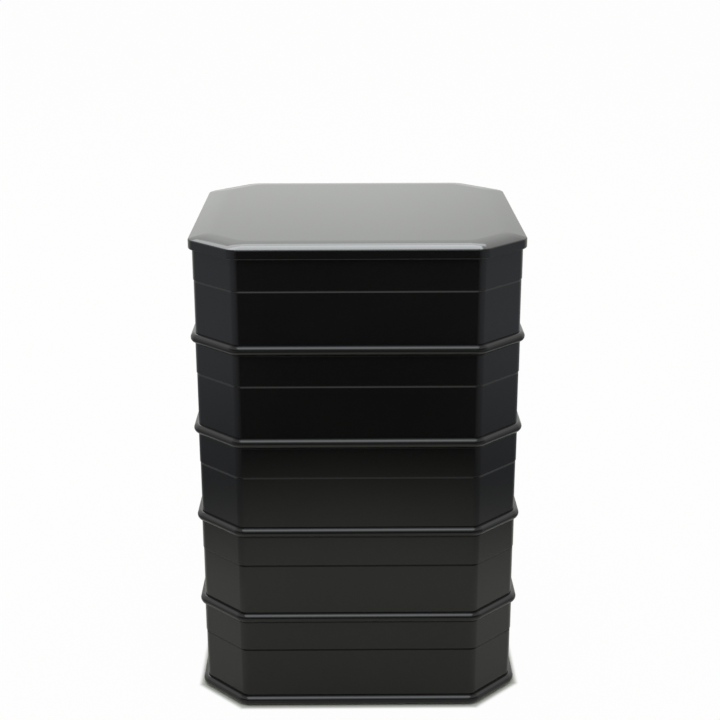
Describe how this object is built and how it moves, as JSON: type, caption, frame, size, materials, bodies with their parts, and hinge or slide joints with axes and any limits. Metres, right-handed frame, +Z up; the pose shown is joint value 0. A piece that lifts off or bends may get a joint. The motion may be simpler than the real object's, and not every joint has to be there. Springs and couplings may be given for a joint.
{
  "type": "stacking lacquer box",
  "caption": "Stack of cut-corner lacquered food boxes, each seated on the lip of the one below, under a crowned lid.",
  "frame": {"origin": "centre of the stack on its underside, where the bottom tier's foot rests on the table", "axes": "+Z up through the stack, -Y towards the front that the picture shows, +X to the right"},
  "size_m": [0.183, 0.183, 0.2709],
  "materials": {
    "outer_lacquer": "polished black lacquer over wood, mirror gloss with faint waviness",
    "inner_lacquer": "black lacquer over wood, a little softer in gloss"
  },
  "bodies": {
    "tier_1": {"tier_1_foot_rim": "outer_lacquer", "tier_1_bottom_panel": "inner_lacquer", "tier_1_side_board": "outer_lacquer", "tier_1_rim_board": "outer_lacquer", "tier_1_inner_lining": "inner_lacquer"},
    "tier_2": {"tier_2_foot_rim": "outer_lacquer", "tier_2_bottom_panel": "inner_lacquer", "tier_2_side_board": "outer_lacquer", "tier_2_rim_board": "outer_lacquer", "tier_2_inner_lining": "inner_lacquer"},
    "tier_3": {"tier_3_foot_rim": "outer_lacquer", "tier_3_bottom_panel": "inner_lacquer", "tier_3_side_board": "outer_lacquer", "tier_3_rim_board": "outer_lacquer", "tier_3_inner_lining": "inner_lacquer"},
    "tier_4": {"tier_4_foot_rim": "outer_lacquer", "tier_4_bottom_panel": "inner_lacquer", "tier_4_side_board": "outer_lacquer", "tier_4_rim_board": "outer_lacquer", "tier_4_inner_lining": "inner_lacquer"},
    "tier_5": {"tier_5_foot_rim": "outer_lacquer", "tier_5_bottom_panel": "inner_lacquer", "tier_5_side_board": "outer_lacquer", "tier_5_rim_board": "outer_lacquer", "tier_5_inner_lining": "inner_lacquer"},
    "lid": {"lid_board": "outer_lacquer", "lid_frame": "inner_lacquer"}
  },
  "joints": [
    {"name": "tier_2_lift", "type": "slide", "parent": "tier_1", "child": "tier_2", "axis": [0, 0, 1], "range_m": [0, 0.06]},
    {"name": "tier_3_lift", "type": "slide", "parent": "tier_2", "child": "tier_3", "axis": [0, 0, 1], "range_m": [0, 0.06]},
    {"name": "tier_4_lift", "type": "slide", "parent": "tier_3", "child": "tier_4", "axis": [0, 0, 1], "range_m": [0, 0.06]},
    {"name": "tier_5_lift", "type": "slide", "parent": "tier_4", "child": "tier_5", "axis": [0, 0, 1], "range_m": [0, 0.06]},
    {"name": "lid_lift", "type": "slide", "parent": "tier_5", "child": "lid", "axis": [0, 0, 1], "range_m": [0, 0.06]}
  ]
}
